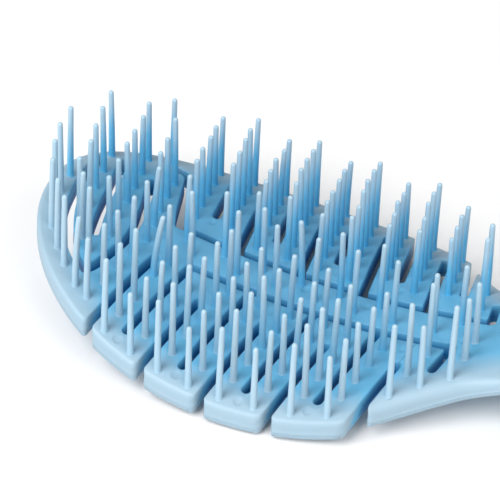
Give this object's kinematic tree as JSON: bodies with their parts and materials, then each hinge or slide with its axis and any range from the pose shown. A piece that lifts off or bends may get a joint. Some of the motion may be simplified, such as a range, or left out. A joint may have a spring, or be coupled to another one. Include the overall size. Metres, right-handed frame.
{
  "type": "flexible vented grooming brush",
  "caption": "One-hand pet grooming brush: arched, slotted flexible head with upright tapered bristles in long and short rows, and a plain grip with a hanging hole.",
  "frame": {"origin": "bottom centre of the bounding box, with the brush lying on its back", "axes": "+X from the tip of the head to the end of the grip, +Y across the head, +Z the way the bristles point"},
  "size_m": [0.23, 0.0694, 0.0376],
  "materials": {
    "plate": "satin",
    "bristles": "satin",
    "grip": "satin"
  },
  "bodies": {
    "handle": {"handle": "grip", "neck": "plate", "neck_pins_long": "bristles", "neck_pins_short": "bristles"},
    "spine": {"spine": "plate", "spine_pins": "bristles", "tip_rim": "plate", "tip_pins_long": "bristles", "tip_pins_short": "bristles"},
    "tongue": {"tongue": "plate", "tongue_pins_mid": "bristles", "tongue_pins_short": "bristles"},
    "near_1": {"near_1": "plate", "near_1_pins_long": "bristles", "near_1_pins_short": "bristles"},
    "near_2": {"near_2": "plate", "near_2_pins_long": "bristles", "near_2_pins_short": "bristles"},
    "near_3": {"near_3": "plate", "near_3_pins_long": "bristles", "near_3_pins_short": "bristles"},
    "near_4": {"near_4": "plate", "near_4_pins_long": "bristles", "near_4_pins_short": "bristles"},
    "far_1": {"far_1": "plate", "far_1_pins_long": "bristles", "far_1_pins_short": "bristles"},
    "far_2": {"far_2": "plate", "far_2_pins_long": "bristles", "far_2_pins_short": "bristles"},
    "far_3": {"far_3": "plate", "far_3_pins_long": "bristles", "far_3_pins_short": "bristles"},
    "far_4": {"far_4": "plate", "far_4_pins_long": "bristles", "far_4_pins_short": "bristles"}
  },
  "joints": [
    {"name": "head_flex", "type": "hinge", "parent": "handle", "child": "spine", "pos_m": [-0.034, 0, 0.00851], "axis": [0, 1, 0], "range_deg": [-4, 4], "stiffness_Nm_per_rad": 4},
    {"name": "tongue_flex", "type": "hinge", "parent": "spine", "child": "tongue", "pos_m": [-0.1039, 0.0123, 0.01499], "axis": [0.9604, 0, -0.2785], "range_deg": [-2, 3], "stiffness_Nm_per_rad": 0.2},
    {"name": "near_1_flex", "type": "hinge", "parent": "spine", "child": "near_1", "pos_m": [-0.0841, -0.009, 0.01058], "axis": [1, 0, 0], "range_deg": [-2, 3], "stiffness_Nm_per_rad": 0.3},
    {"name": "near_2_flex", "type": "hinge", "parent": "near_1", "child": "near_2", "pos_m": [-0.07515, -0.009, 0.00917], "axis": [1, 0, 0], "range_deg": [-1.7, 2.5], "stiffness_Nm_per_rad": 0.3},
    {"name": "near_3_flex", "type": "hinge", "parent": "near_2", "child": "near_3", "pos_m": [-0.06145, -0.009, 0.00785], "axis": [1, 0, 0], "range_deg": [-0.5, 0.7], "stiffness_Nm_per_rad": 0.3},
    {"name": "near_4_flex", "type": "hinge", "parent": "near_3", "child": "near_4", "pos_m": [-0.04775, -0.009, 0.00752], "axis": [1, 0, 0], "range_deg": [-1.9, 1.3], "stiffness_Nm_per_rad": 0.3},
    {"name": "far_1_flex", "type": "hinge", "parent": "spine", "child": "far_1", "pos_m": [-0.08286, 0.009, 0.01036], "axis": [-1, 0, 0], "range_deg": [-2, 3], "stiffness_Nm_per_rad": 0.3},
    {"name": "far_2_flex", "type": "hinge", "parent": "far_1", "child": "far_2", "pos_m": [-0.06916, 0.009, 0.00847], "axis": [-1, 0, 0], "range_deg": [-1.7, 2.5], "stiffness_Nm_per_rad": 0.3},
    {"name": "far_3_flex", "type": "hinge", "parent": "far_2", "child": "far_3", "pos_m": [-0.05546, 0.009, 0.00758], "axis": [-1, 0, 0], "range_deg": [-0.5, 0.7], "stiffness_Nm_per_rad": 0.3},
    {"name": "far_4_flex", "type": "hinge", "parent": "far_3", "child": "far_4", "pos_m": [-0.04176, 0.009, 0.00768], "axis": [-1, 0, 0], "range_deg": [-1.9, 1.3], "stiffness_Nm_per_rad": 0.3}
  ],
  "couplings": [
    {"joint": "near_2_flex", "follows": "near_1_flex", "ratio": 0.8},
    {"joint": "near_3_flex", "follows": "near_1_flex", "ratio": 0.2},
    {"joint": "near_4_flex", "follows": "near_1_flex", "ratio": -0.6},
    {"joint": "far_2_flex", "follows": "far_1_flex", "ratio": 0.8},
    {"joint": "far_3_flex", "follows": "far_1_flex", "ratio": 0.2},
    {"joint": "far_4_flex", "follows": "far_1_flex", "ratio": -0.6}
  ]
}
